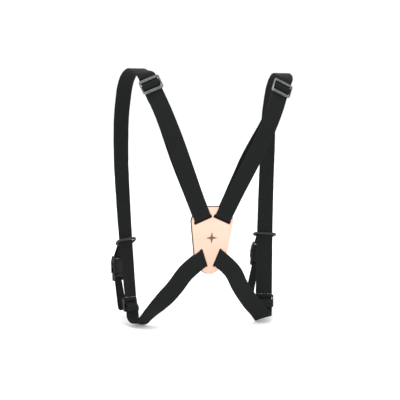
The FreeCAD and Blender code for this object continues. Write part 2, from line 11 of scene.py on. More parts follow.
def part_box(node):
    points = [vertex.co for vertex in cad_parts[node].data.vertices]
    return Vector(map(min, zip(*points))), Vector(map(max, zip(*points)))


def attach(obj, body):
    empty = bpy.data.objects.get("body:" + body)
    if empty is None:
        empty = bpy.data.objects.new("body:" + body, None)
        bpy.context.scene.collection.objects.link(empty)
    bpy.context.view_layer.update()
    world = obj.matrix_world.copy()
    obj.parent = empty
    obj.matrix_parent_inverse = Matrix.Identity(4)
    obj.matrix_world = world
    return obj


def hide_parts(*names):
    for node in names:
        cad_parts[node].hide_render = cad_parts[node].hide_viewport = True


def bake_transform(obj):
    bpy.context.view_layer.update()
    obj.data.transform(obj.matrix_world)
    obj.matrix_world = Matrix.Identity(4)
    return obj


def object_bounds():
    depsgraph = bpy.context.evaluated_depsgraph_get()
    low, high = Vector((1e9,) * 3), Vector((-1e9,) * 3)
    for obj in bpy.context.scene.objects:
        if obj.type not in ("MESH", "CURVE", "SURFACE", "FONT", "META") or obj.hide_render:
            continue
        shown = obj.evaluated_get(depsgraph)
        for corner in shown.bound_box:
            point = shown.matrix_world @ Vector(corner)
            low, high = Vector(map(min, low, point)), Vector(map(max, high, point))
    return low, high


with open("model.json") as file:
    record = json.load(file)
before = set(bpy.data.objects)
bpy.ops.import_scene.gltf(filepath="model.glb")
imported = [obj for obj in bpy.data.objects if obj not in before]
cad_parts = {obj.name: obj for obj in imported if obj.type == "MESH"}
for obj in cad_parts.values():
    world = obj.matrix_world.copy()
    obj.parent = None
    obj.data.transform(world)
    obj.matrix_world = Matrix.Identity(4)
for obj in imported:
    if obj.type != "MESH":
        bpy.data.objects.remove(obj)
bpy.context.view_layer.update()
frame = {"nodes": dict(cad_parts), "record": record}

# Metres, +X to the wearer's right, +Y the way the wearer faces, +Z up.
MM = 0.001
SIDES = ("left", "right")
WELD = 0.01 * MM  # corners of a CAD mesh that are nearer than this are one
CLOTH_MAP = "cloth"  # texture coordinates across and along webbing, in millimetres
STAMP, RIM = "stamp", "rim"  # where the leather is pressed, and where it's cut

# Webbing: its sizes, and the steps between its cross-sections.
WEB_WIDTH = 25.0 * MM
WEB_THICK = 1.4 * MM
DROP_WIDTH = 10.0 * MM
DROP_THICK = 1.2 * MM
STEP = 1.1 * MM
BAR_STEP = 0.45 * MM  # where webbing turns round an adjuster's bar
LEAST_SECTIONS = 4
LOOP_STEP = 0.8 * MM
LOOP_TRIES = 4  # points tried on a loop's inner edge for each one on its outer edge
LOOP_PASSES = 3  # of smoothing along a loop's middle line
LOOP_FACING = 0.85  # a face whose normal is this near a loop's axis is at its edge

# The outline of a webbing cross-section.
SELVAGE = 1.1 * MM  # how far in from the edge it's rounded
SELVAGE_SHARE = 0.2  # but no more of the half width than this
SELVAGE_ANGLES = (25, 45, 62, 76, 86)
EDGE_DEPTH, ROUND_DEPTH = 0.18, 0.82  # shares of the thickness, at the edge and in its round
FACE_POINTS = 9

# The slight waves that webbing hangs in.
OCTAVES = ((1.0, 0.65), (2.1, 0.35))  # bumps per wave, and share of the height
OCTAVE_SPREAD = (0.8, 1.25)  # of a wave's length
RIPPLE = 0.16 * MM  # the height
LIFT_WAVE = 34 * MM  # a wave that moves the full width
CURL_WAVE, CURL_SHARE, CURL_SEED = 21 * MM, 0.8, 7  # one that moves the edges
NARROW_WAVE, NARROW_SHARE, NARROW_SEED = 9 * MM, 0.006, 13  # one that changes the width
HELD = 4 * MM  # at both ends, without waves

# Box stitches, measured from the webbing's edge and from its cut end.
BOX_INSET = 2.6 * MM
BOX_NEAR, BOX_FAR = 1.8 * MM, 8.6 * MM
STITCH_PITCH = 1.9 * MM
STITCH_LENGTH = 1.5 * MM
STITCH_LIFT = 0.02 * MM
STITCH_LEAST = 3
THREAD_RADIUS = 0.24 * MM
# A stitch's rings: shares of its length and of the thread's radius.
STITCH_RINGS = ((-0.5, 0.0), (-0.44, 0.6), (-0.25, 1.0), (0.25, 1.0), (0.44, 0.6), (0.5, 0.0))
STITCH_SIDES = 8
STITCH_TIP = 0.05


# ---- small geometry ---------------------------------------------------------
def unit(vector):
    vector = np.asarray(vector, float)
    return vector / np.linalg.norm(vector, axis=-1, keepdims=True)


def middle(node):
    low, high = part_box(node)
    return np.array((low + high) / 2)


def smoothstep(value):
    value = np.clip(value, 0.0, 1.0)
    return value * value * (3 - 2 * value)


def noise_line(length, step, seed, wave):
    """Smooth noise at even steps along a line, about -1 to 1, with bumps about a wave long."""
    rng = np.random.RandomState(seed)
    at = np.arange(0.0, length + step, step)
    total = np.zeros(len(at))
    for octave, weight in OCTAVES:
        phase = rng.uniform(0, 2 * math.pi, 3)
        pitch = wave / octave * rng.uniform(*OCTAVE_SPREAD, 3)
        total += weight * sum(np.sin(2 * math.pi * at / p + f) for p, f in zip(pitch, phase)) / 2
    return total


# ---- the frame's webbing solids, read as rows of cross-sections ------------------
plate_middle = middle("leather_plate")


def welded(node):
    """A node's corners, and for each one the corners that an edge joins it to."""
    bm = bmesh.new()
    bm.from_mesh(frame["nodes"][node].data)
    bmesh.ops.remove_doubles(bm, verts=bm.verts, dist=WELD)
    points = np.array([v.co for v in bm.verts])
    near = [[e.other_vert(v).index for e in v.link_edges] for v in bm.verts]
    bm.free()
    return points, near


def rings_from(near, first):
    """Corners in rings, each one edge further from the first ring."""
    seen, rings = set(first), [sorted(first)]
    while rings[-1]:
        ring = {b for a in rings[-1] for b in near[a]} - seen
        seen |= ring
        rings.append(sorted(ring))
    return rings[:-1]


def sections(node, first_near):
    """Centres, widths and normals of a webbing solid, from the end nearest a point.

    A width is 1 long where the section is square to the webbing, and longer where it slants.
    """
    points, near = welded(node)

    def mate(vertex, wanted):
        misses = {b: abs(np.linalg.norm(points[b] - points[vertex]) - wanted) for b in near[vertex]}
        return min(misses, key=misses.get)

    plate_end = int(np.argmin(np.linalg.norm(points - plate_middle, axis=1)))
    corner = rings_from(near, [plate_end])[-1][0]
    across = mate(corner, WEB_WIDTH)
    rings = rings_from(near, {corner, mate(corner, WEB_THICK), across, mate(across, WEB_THICK)})
    centres, widths, normals = [], [], []
    for ring in rings:
        corners = points[ring]
        partner = 1 + int(np.argmin(np.linalg.norm(corners[1:] - corners[0], axis=1)))
        others = [i for i in range(1, len(ring)) if i != partner]
        wide = (corners[0] + corners[partner]) / 2 - corners[others].mean(axis=0)
        deep = corners[0] - corners[partner]
        if widths and np.dot(wide, widths[-1]) < 0:
            wide = -wide
        if normals and np.dot(deep, normals[-1]) < 0:
            deep = -deep
        centres.append(corners.mean(axis=0))
        widths.append(wide / WEB_WIDTH)
        normals.append(unit(deep))
    row = [np.array(centres), np.array(widths), np.array(normals)]
    start, end = (np.linalg.norm(row[0][i] - np.asarray(first_near)) for i in (0, -1))
    return row if start < end else [part[::-1] for part in row]


def joined(first, second):
    """Two rows of sections that meet, as one."""
    flips = [1.0 if np.dot(first[i][-1], second[i][0]) > 0 else -1.0 for i in (1, 2)]
    return [np.vstack([first[0], second[0][1:]]),
            np.vstack([first[1], second[1][1:] * flips[0]]),
            np.vstack([first[2], second[2][1:] * flips[1]])]


def resampled(row, step):
    """The row at even steps along a smooth curve through its centres."""
    centres, widths = row[0], row[1]
    gaps = np.linalg.norm(np.diff(centres, axis=0), axis=1)
    stations = np.concatenate([[0.0], np.cumsum(gaps)])
    slopes = np.gradient(centres, stations, axis=0)
    slopes[0] = (centres[1] - centres[0]) / gaps[0]
    slopes[-1] = (centres[-1] - centres[-2]) / gaps[-1]
    count = max(LEAST_SECTIONS, int(round(stations[-1] / step)) + 1)
    at = np.linspace(0.0, stations[-1], count)
    seat = np.clip(np.searchsorted(stations, at, side="right") - 1, 0, len(gaps) - 1)
    gap = gaps[seat][:, None]
    t = ((at - stations[seat]) / gaps[seat])[:, None]
    points = (centres[seat] * (2 * t ** 3 - 3 * t ** 2 + 1)
              + centres[seat + 1] * (3 * t ** 2 - 2 * t ** 3)
              + slopes[seat] * gap * t * (1 - t) ** 2
              + slopes[seat + 1] * gap * t ** 2 * (t - 1))
    along = unit(np.gradient(points, axis=0))
    turned = widths[seat] * (1 - t) + widths[seat + 1] * t
    normals = unit(np.cross(along, turned))
    if np.dot(normals[0], row[2][0]) < 0:
        normals = -normals
    return points, turned, normals, at


# ---- meshes --------------------------------------------------------------------
def make_object(name, points, faces, material, uvs=None, smooth=True):
    mesh = bpy.data.meshes.new(name)
    mesh.from_pydata([tuple(p) for p in points], [], [tuple(int(i) for i in f) for f in faces])
    mesh.materials.append(material)
    if uvs is not None:
        layer = mesh.uv_layers.new(name=CLOTH_MAP)
        for loop in mesh.loops:
            layer.data[loop.index].uv = uvs[loop.vertex_index]
    for polygon in mesh.polygons:
        polygon.use_smooth = smooth
    mesh.validate()
    mesh.update()
    bm = bmesh.new()
    bm.from_mesh(mesh)
    bmesh.ops.recalc_face_normals(bm, faces=bm.faces)
    bm.to_mesh(mesh)
    bm.free()
    thing = bpy.data.objects.new(name, mesh)
    bpy.context.scene.collection.objects.link(thing)
    return thing


def tube_faces(rows, columns, closed):
    """The faces between rings of points, and from the last ring to the first if it's closed."""
    faces = []
    for i in range(rows if closed else rows - 1):
        n = (i + 1) % rows
        for j in range(columns):
            k = (j + 1) % columns
            faces.append((i * columns + j, i * columns + k, n * columns + k, n * columns + j))
    return faces


def web_profile(width, thick):
    """Points round a woven cross-section: flat faces, softly rounded selvages."""
    half, deep = width / 2, thick / 2
    edge = min(SELVAGE, half * SELVAGE_SHARE)
    flat = np.linspace(-(half - edge), half - edge, FACE_POINTS)
    round_off = [(half - edge + edge * math.sin(a), deep * (EDGE_DEPTH + ROUND_DEPTH * math.cos(a)))
                 for a in np.radians(SELVAGE_ANGLES)]
    upper = [(x, deep) for x in flat] + round_off
    lower = [(x, -y) for x, y in reversed(round_off)] + [(x, -deep) for x in reversed(flat)]
    left = [(-x, -y) for x, y in round_off] + [(-x, y) for x, y in reversed(round_off)]
    return np.array(upper + lower + left)


def sharp_ends(piece):
    """Keeps the cut ends of webbing from bending the shading of its faces."""
    mesh = piece.data
    caps = [face for face in mesh.polygons if len(face.vertices) > 4]
    rims = {key for face in caps for key in face.edge_keys}
    for face in caps:
        face.use_smooth = False
    for edge in mesh.edges:
        if tuple(sorted(edge.vertices)) in rims:
            edge.use_edge_sharp = True
    return piece


def webbing(name, row, seed, rest, step=STEP, start_at=0.0, ripple=RIPPLE, part=slice(None)):
    """A length of webbing along a row of sections, or a part of it, with slight waves.

    The waves come in over the two rest lengths, in millimetres from the two ends.
    """
    points, widths, normals, at = resampled(row, step)
    profile = web_profile(WEB_WIDTH, WEB_THICK)
    length = at[-1]

    def waves(seed_step, wave):
        along = np.arange(0.0, length + step, step)
        return np.interp(at, along, noise_line(length, step, seed + seed_step, wave))

    calm = smoothstep((at - HELD) / (rest[0] * MM)) * smoothstep((length - at - HELD) / (rest[1] * MM))
    lift = waves(0, LIFT_WAVE) * ripple * calm
    curl = waves(CURL_SEED, CURL_WAVE) * ripple * CURL_SHARE * calm
    narrow = 1 - NARROW_SHARE * np.abs(waves(NARROW_SEED, NARROW_WAVE))
    share = profile[:, 0] / (WEB_WIDTH / 2)
    out = lift[:, None] + curl[:, None] * (share ** 3)[None, :] + profile[None, :, 1]
    verts = (points[:, None, :]
             + widths[:, None, :] * (profile[None, :, 0] * narrow[:, None])[:, :, None]
             + normals[:, None, :] * out[:, :, None])
    verts, at = verts[part], at[part]
    rows, columns = verts.shape[:2]
    faces = tube_faces(rows, columns, closed=False)
    faces.append(tuple(range(columns)))
    faces.append(tuple(range((rows - 1) * columns, rows * columns)))
    uvs = [(profile[j, 0] / MM, (start_at + at[i]) / MM) for i in range(rows) for j in range(columns)]
    return sharp_ends(make_object(name, verts.reshape(-1, 3), faces, WEB, uvs))


def webbing_loop(name, node, axis):
    """A closed loop of narrow webbing, on the middle line of the frame's solid."""
    loops = boundary_loops(node, lambda face: face.normal.dot(Vector(axis)) > LOOP_FACING)
    loops = sorted(loops, key=lambda loop: -np.linalg.norm(np.diff(loop, axis=0), axis=1).sum())
    outer, inner = (even_loop(loop, LOOP_STEP / LOOP_TRIES) for loop in loops[:2])
    outer = outer[::LOOP_TRIES]
    mates = np.array([inner[np.argmin(np.linalg.norm(inner - p, axis=1))] for p in outer])
    centres = (outer + mates) / 2 - np.asarray(axis) * DROP_WIDTH / 2
    for _ in range(LOOP_PASSES):
        centres = (np.roll(centres, 1, axis=0) + 2 * centres + np.roll(centres, -1, axis=0)) / 4
    along = unit(np.roll(centres, -1, axis=0) - np.roll(centres, 1, axis=0))
    normals = unit(np.cross(along, axis))
    profile = web_profile(DROP_WIDTH, DROP_THICK)
    verts = (centres[:, None, :] + np.asarray(axis) * profile[None, :, 0][:, :, None]
             + normals[:, None, :] * profile[None, :, 1][:, :, None])
    rows, columns = verts.shape[:2]
    uvs = [(profile[j, 0] / MM, i * LOOP_STEP / MM) for i in range(rows) for j in range(columns)]
    return make_object(name, verts.reshape(-1, 3), tube_faces(rows, columns, closed=True), NARROW, uvs)


def box_stitch(name, row):
    """A sewn box with a cross, on the free side of a webbing end."""
    centres, widths = row[0], row[1]
    end, across = centres[-1], unit(widths[-1])
    back = unit(centres[-2] - centres[-1])
    out = unit(np.cross(across, back))
    if np.dot(out, centres[-1] - centres[0]) < 0:
        out = -out
    half = WEB_WIDTH / 2 - BOX_INSET
    corners = [(-half, BOX_NEAR), (half, BOX_NEAR), (half, BOX_FAR), (-half, BOX_FAR)]
    lines = [(corners[i], corners[(i + 1) % 4]) for i in range(4)]
    lines += [(corners[0], corners[2]), (corners[1], corners[3])]
    places, ways, outs = [], [], []
    for start, stop in lines:
        start, stop = np.array(start), np.array(stop)
        count = max(STITCH_LEAST, int(round(np.linalg.norm(stop - start) / STITCH_PITCH)))
        for i in range(count):
            side, along = start + (stop - start) * (i + 0.5) / count
            places.append(end + across * side + back * along + out * (WEB_THICK / 2 + STITCH_LIFT))
            ways.append(unit(across * (stop - start)[0] + back * (stop - start)[1]))
            outs.append(out)
    return make_object(name, *stitch_bars(places, ways, outs), THREAD)


def stitch_bars(places, ways, outs):
    """Stitches as small rounded bars, as one mesh's points and faces."""
    points, faces = [], []
    for place, way, out in zip(places, ways, outs):
        side = np.cross(way, out)
        base = len(points)
        for share, size in STITCH_RINGS:
            for k in range(STITCH_SIDES):
                angle = 2 * math.pi * k / STITCH_SIDES
                spoke = side * math.cos(angle) + out * math.sin(angle)
                points.append(place + way * share * STITCH_LENGTH
                              + spoke * THREAD_RADIUS * max(size, STITCH_TIP))
        rows = len(STITCH_RINGS)
        faces += [tuple(base + i for i in face) for face in tube_faces(rows, STITCH_SIDES, closed=False)]
        faces.append([base + k for k in range(STITCH_SIDES)])
        faces.append([base + (rows - 1) * STITCH_SIDES + k for k in range(STITCH_SIDES)])
    return points, faces


# ---- materials -----------------------------------------------------------------
class Nodes:
    """A material's node tree, with short ways to add to it."""

    def __init__(self, name):
        self.material = bpy.data.materials.new(name)
        self.material.use_nodes = True
        self.tree = self.material.node_tree
        self.shader = self.tree.nodes["Principled BSDF"]

    def add(self, kind, inputs=(), **settings):
        node = self.tree.nodes.new(kind)
        for key, value in settings.items():
            setattr(node, key, value)
        for socket, value in dict(inputs).items():
            self.set(node.inputs[socket], value)
        return node

    def set(self, socket, value):
        if isinstance(value, bpy.types.NodeSocket):
            self.tree.links.new(value, socket)
        else:
            socket.default_value = value

    def place(self):
        return self.add("ShaderNodeTexCoord").outputs["Object"]

    def attribute(self, name):
        return self.add("ShaderNodeAttribute", attribute_name=name).outputs["Fac"]

    def math(self, operation, a, b=0.0):
        return self.add("ShaderNodeMath", {0: a, 1: b}, operation=operation).outputs[0]

    def times(self, a, b):
        return self.math("MULTIPLY", a, b)

    def plus(self, a, b):
        return self.math("ADD", a, b)

    def mix(self, share, a, b):
        node = self.add("ShaderNodeMix", data_type="RGBA")
        self.set(node.inputs["Factor"], share)
        self.set(node.inputs[6], a)
        self.set(node.inputs[7], b)
        return node.outputs[2]

    def noise(self, vector, scale, detail=3.0, roughness=0.5):
        inputs = {"Vector": vector, "Scale": scale, "Detail": detail, "Roughness": roughness}
        return self.add("ShaderNodeTexNoise", inputs).outputs["Fac"]

    def cells(self, vector, scale, feature):
        inputs = {"Vector": vector, "Scale": scale}
        return self.add("ShaderNodeTexVoronoi", inputs, feature=feature).outputs[0]

    def ramp(self, value, low, high, out_low=0.0, out_high=1.0):
        inputs = {0: value, 1: low, 2: high, 3: out_low, 4: out_high}
        return self.add("ShaderNodeMapRange", inputs).outputs[0]

    def bump(self, height, distance, strength):
        inputs = {"Height": height, "Distance": distance, "Strength": strength}
        return self.add("ShaderNodeBump", inputs).outputs[0]

    def surface(self, **sockets):
        """The material, with the shader's sockets set: an underscore stands for a space."""
        for name, value in sockets.items():
            self.set(self.shader.inputs[name.replace("_", " ")], value)
        return self.material


def rgb(red, green, blue):
    """A linear colour from 0-255 display values."""
    def linear(value):
        value /= 255
        return value / 12.92 if value <= 0.04045 else ((value + 0.055) / 1.055) ** 2.4
    return (linear(red), linear(green), linear(blue), 1.0)


def webbing_material(name, rib, warp):
    """Ribbed webbing, with the pitch of its ribs and of its warp ends in millimetres."""
    # dark is painted shade for the weave's valleys and light a painted highlight for its crowns; light is
    # also the tone of worn selvages and lighter patches.
    dark, light = rgb(12, 13, 13), rgb(29, 31, 31)
    rib_height, cross_height, fibre_height = 0.55, 0.35, 0.35
    selvage_from, selvage_to = 10.6, 12.2
    n = Nodes(name)
    cloth = n.add("ShaderNodeUVMap", uv_map=CLOTH_MAP).outputs[0]
    split = n.add("ShaderNodeSeparateXYZ", {0: cloth})
    u, v = split.outputs[0], split.outputs[1]
    place = n.place()
    wander = n.times(n.noise(place, scale=220.0, detail=2.0), 0.5)
    ribs = n.math("SINE", n.plus(n.times(v, 2 * math.pi / rib), wander))
    warp_ends = n.math("SINE", n.times(u, 2 * math.pi / warp))
    ridge = n.plus(n.times(n.math("ABSOLUTE", ribs), rib_height),
                   n.times(n.times(ribs, warp_ends), cross_height))
    drawn = n.add("ShaderNodeCombineXYZ", {0: n.times(u, 9.0), 1: v}).outputs[0]
    fibre = n.noise(drawn, scale=1.6, detail=4.0)
    height = n.plus(ridge, n.times(fibre, fibre_height))
    crown = n.ramp(height, 0.05, 0.95)
    patch = n.ramp(n.noise(place, scale=26.0), 0.3, 0.75)
    selvage = n.ramp(n.math("ABSOLUTE", u), selvage_from, selvage_to)
    # Painted highlight on the weave's crowns and painted shade in its valleys, following the relief's
    # height.
    colour = n.mix(crown, dark, light)
    colour = n.mix(n.times(patch, 0.35), colour, n.mix(0.5, light, colour))
    colour = n.mix(n.times(selvage, 0.2), colour, light)
    return n.surface(Base_Color=colour, Roughness=n.ramp(crown, 0.0, 1.0, 0.92, 0.66),
                     Normal=n.bump(height, distance=0.16 * MM, strength=0.9), Specular_IOR_Level=0.12)


def leather_material():
    light, dark, foot = rgb(231, 203, 184), rgb(222, 192, 173), rgb(212, 178, 157)
    speckled, pored = rgb(196, 156, 124), rgb(190, 150, 118)
    pressed, cut = rgb(104, 76, 58), rgb(176, 132, 102)
    foot_from, foot_to = 0.02, -0.05  # heights between which the plate darkens
    n = Nodes("tan_leather")
    place = n.place()
    grain = n.ramp(n.cells(place, scale=1500.0, feature="DISTANCE_TO_EDGE"), 0.0, 0.16)
    coarse = n.cells(place, scale=620.0, feature="F1")
    mottle = n.noise(place, scale=45.0, detail=5.0, roughness=0.6)
    speck = n.noise(place, scale=900.0, roughness=0.6)
    up = n.add("ShaderNodeSeparateXYZ", {0: place}).outputs[2]
    colour = n.mix(n.ramp(mottle, 0.35, 0.7), dark, light)
    colour = n.mix(n.ramp(up, foot_from, foot_to), colour, foot)
    colour = n.mix(n.times(n.ramp(speck, 0.55, 0.8), 0.25), colour, speckled)
    colour = n.mix(n.times(n.math("SUBTRACT", 1.0, grain), 0.25), colour, pored)
    colour = n.mix(n.attribute(STAMP), colour, pressed)
    colour = n.mix(n.times(n.attribute(RIM), 0.7), colour, cut)
    height = n.plus(n.times(grain, 0.6), n.times(coarse, 0.5))
    height = n.plus(height, n.times(speck, 0.4))
    return n.surface(Base_Color=colour, Roughness=n.ramp(mottle, 0.3, 0.8, 0.5, 0.62),
                     Normal=n.bump(height, distance=0.05 * MM, strength=0.6), Specular_IOR_Level=0.4)


def lining_material():
    dark, light, raised = rgb(30, 22, 19), rgb(46, 36, 31), rgb(64, 52, 46)
    n = Nodes("dark_lining")
    place = n.place()
    nap = n.noise(place, scale=1400.0, detail=4.0, roughness=0.7)
    cloud = n.noise(place, scale=60.0, detail=4.0)
    colour = n.mix(n.ramp(cloud, 0.3, 0.7), dark, light)
    colour = n.mix(n.times(n.ramp(nap, 0.5, 0.8), 0.4), colour, raised)
    return n.surface(Base_Color=colour, Roughness=0.88, Specular_IOR_Level=0.15,
                     Normal=n.bump(nap, distance=0.06 * MM, strength=0.8))


def metal_material():
    dark, light = rgb(104, 107, 108), rgb(128, 131, 132)
    # A painted highlight for the convex edges, and painted shade for the hollows.
    painted_edge_highlight, painted_hollow_shade = rgb(216, 218, 218), rgb(30, 31, 31)
    scratch_stretch = (300.0, 2500.0, 2500.0)
    n = Nodes("satin_grey_metal")
    place = n.place()
    grain = n.noise(place, scale=1800.0, roughness=0.6)
    cloud = n.noise(place, scale=120.0)
    drawn = n.add("ShaderNodeMapping", {"Vector": place, "Scale": scratch_stretch}).outputs[0]
    scratch = n.ramp(n.noise(drawn, scale=1.0, detail=2.0), 0.62, 0.7)
    pointiness = n.add("ShaderNodeNewGeometry").outputs["Pointiness"]
    edge, hollow = n.ramp(pointiness, 0.51, 0.58), n.ramp(pointiness, 0.49, 0.44)
    colour = n.mix(n.ramp(cloud, 0.3, 0.7), dark, light)
    # Painted highlight: convex edges, found by pointiness, are lightened.
    colour = n.mix(n.times(edge, 0.7), colour, painted_edge_highlight)
    # Painted shade: hollows, found by pointiness, are darkened.
    colour = n.mix(n.times(hollow, 0.8), colour, painted_hollow_shade)
    rough = n.plus(n.ramp(grain, 0.3, 0.7, 0.3, 0.42), n.times(scratch, 0.1))
    return n.surface(Base_Color=colour, Metallic=0.85, Roughness=rough,
                     Normal=n.bump(n.plus(grain, scratch), distance=0.012 * MM, strength=0.6))


def black_metal_material():
    coat, worn = rgb(12, 12, 12), rgb(46, 47, 47)
    n = Nodes("black_coated_wire")
    place = n.place()
    orange_peel = n.noise(place, scale=900.0)
    wear = n.ramp(n.noise(place, scale=160.0, detail=4.0, roughness=0.7), 0.6, 0.75)
    colour = n.mix(n.times(wear, 0.2), coat, worn)
    return n.surface(Base_Color=colour, Roughness=n.ramp(orange_peel, 0.3, 0.7, 0.2, 0.32),
                     Normal=n.bump(orange_peel, distance=0.02 * MM, strength=0.5))


def plastic_material():
    dark, light = rgb(12, 13, 13), rgb(22, 23, 23)
    n = Nodes("moulded_black_plastic")
    place = n.place()
    spark = n.noise(place, scale=2600.0, detail=2.0, roughness=0.6)
    cloud = n.noise(place, scale=90.0)
    colour = n.mix(n.ramp(cloud, 0.35, 0.7), dark, light)
    return n.surface(Base_Color=colour, Roughness=n.ramp(spark, 0.3, 0.7, 0.38, 0.52),
                     Normal=n.bump(spark, distance=0.03 * MM, strength=0.6), Specular_IOR_Level=0.3)


def thread_material():
    dark, light = rgb(20, 21, 21), rgb(44, 46, 45)
    n = Nodes("black_thread")
    twist = n.noise(n.place(), scale=3000.0, detail=2.0)
    return n.surface(Base_Color=n.mix(twist, dark, light), Roughness=0.55,
                     Normal=n.bump(twist, distance=0.05 * MM, strength=0.8))


def floor_material():
    dark, light = (0.93, 0.93, 0.93, 1.0), (0.95, 0.95, 0.95, 1.0)
    n = Nodes("pale_floor")
    cloud = n.noise(n.place(), scale=3.0)
    return n.surface(Base_Color=n.mix(cloud, dark, light), Roughness=0.9, Specular_IOR_Level=0.1)


WEB = webbing_material("black_webbing", rib=1.5, warp=1.1)
NARROW = webbing_material("narrow_black_webbing", rib=1.1, warp=0.8)
LEATHER = leather_material()
LINING = lining_material()
METAL = metal_material()
BLACK_METAL = black_metal_material()
PLASTIC = plastic_material()
THREAD = thread_material()
SLOT_MATERIALS = {"grey_metal": METAL, "black_ring": BLACK_METAL, "black_plastic": PLASTIC}


def finish_piece(piece, nodes, body=None, bends=None):
    """Hangs a piece on the body it rides and hides the solids that it stands for; a piece that bends has
    its place baked into its points.
    """
    if body:
        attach(piece, body)
    if bends:
        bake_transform(piece)
    if nodes:
        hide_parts(*nodes)


# ---- the back plate: slabs cut to the frame's outlines -----------------------------
LEVEL_MISS = 0.02 * MM  # how far a corner may be from the level of its face
RIM_STEP = 0.7 * MM  # between points along a rim
RIM_CLEAR = 0.09 * MM  # with no inner points nearer a rim than this
RIM_ROWS = (0.12, 0.32, 0.62, 1.0)  # rows of points along a rim, millimetres in from it
ROW_RISE = 0.866  # between rows of a grid of equal triangles, for steps of 1
LEAST_POINTS = 12
CDT_EPSILON = 1e-7

LEATHER_GRID = 0.85 * MM
LEATHER_ROUND, LEATHER_BACK_ROUND = 0.75 * MM, 0.2 * MM
PAD_GRID, ISLAND_GRID = 1.6 * MM, 2.0 * MM
PAD_ROUND, ISLAND_ROUND = 0.7 * MM, 0.15 * MM
CHANNEL_FLOOR = -0.95 * MM  # the level of Y at the bottom of the pad's channels
ISLAND_SINK = 0.01 * MM
LEAST_ISLAND = (3 * MM) ** 2

# The star is this deep. The face also sinks towards its rims, and waves a little.
STAR_DEPTH = 0.42 * MM
STAR_OUT, STAR_WALL = 0.25 * MM, 0.6 * MM
STAMP_OUT, STAMP_FADE = 0.3 * MM, 0.7 * MM
RIM_SINK, RIM_REACH = 0.14 * MM, 2.2 * MM
RIM_FADE = 0.7 * MM
FACE_WAVE = 0.05 * MM
WAVE_X, WAVE_Z = 210, 150  # radians a metre


def boundary_loops(node, chosen_by):
    """The boundary loops of a node's faces that a test chooses, as arrays of points."""
    bm = bmesh.new()
    bm.from_mesh(frame["nodes"][node].data)
    bmesh.ops.remove_doubles(bm, verts=bm.verts, dist=WELD)
    bm.normal_update()
    chosen = {f for f in bm.faces if chosen_by(f)}
    after = {}
    for edge in bm.edges:
        owners = [f for f in edge.link_faces if f in chosen]
        if len(owners) == 1:
            a, b = edge.verts
            after.setdefault(a.index, []).append(b.index)
            after.setdefault(b.index, []).append(a.index)
    bm.verts.ensure_lookup_table()
    loops, left = [], set(after)
    while left:
        start = min(left)
        loop, here, last = [start], after[start][0], start
        while here != start:
            loop.append(here)
            step = [v for v in after[here] if v != last]
            last, here = here, step[0]
        left -= set(loop)
        loops.append(np.array([bm.verts[i].co for i in loop]))
    bm.free()
    return loops


def face_loops(node, level):
    """The boundary loops of a node's flat faces at a level of Y, as arrays of (x, z)."""
    def at_level(face):
        return all(abs(v.co.y - level) < LEVEL_MISS for v in face.verts)
    return [loop[:, [0, 2]] for loop in boundary_loops(node, at_level)]


def area(loop):
    x, z = loop[:, 0], loop[:, 1]
    return 0.5 * float(np.sum(x * np.roll(z, -1) - z * np.roll(x, -1)))


def even_loop(loop, step):
    """A closed loop at even steps."""
    closed = np.vstack([loop, loop[:1]])
    stations = np.concatenate([[0.0], np.cumsum(np.linalg.norm(np.diff(closed, axis=0), axis=1))])
    count = max(LEAST_POINTS, int(round(stations[-1] / step)))
    at = np.linspace(0.0, stations[-1], count, endpoint=False)
    return np.stack([np.interp(at, stations, closed[:, i]) for i in range(closed.shape[1])], axis=1)


def inside(points, loop):
    """Whether each point is inside a loop."""
    x, z = points[:, 0][:, None], points[:, 1][:, None]
    ax, az = loop[:, 0][None], loop[:, 1][None]
    bx, bz = np.roll(loop, -1, axis=0)[:, 0][None], np.roll(loop, -1, axis=0)[:, 1][None]
    crosses = ((az > z) != (bz > z)) & (x < (bx - ax) * (z - az) / np.where(bz == az, 1e-12, bz - az) + ax)
    return crosses.sum(axis=1) % 2 == 1


def distance_to(points, loop):
    """Each point's distance from the nearest part of a loop."""
    best = np.full(len(points), np.inf)
    for start, step in zip(loop, np.roll(loop, -1, axis=0) - loop):
        t = np.clip(((points - start) @ step) / max(step @ step, 1e-18), 0, 1)
        best = np.minimum(best, np.linalg.norm(points - start - t[:, None] * step, axis=1))
    return best


def depth_inside(points, loop):
    """Each point's distance from a loop, negative outside it."""
    gap = distance_to(points, loop)
    return np.where(inside(points, loop), gap, -gap)


def within(points, rings):
    """Whether each point is inside the first ring and outside the others."""
    kept = inside(points, rings[0])
    for ring in rings[1:]:
        kept &= ~inside(points, ring)
    return kept


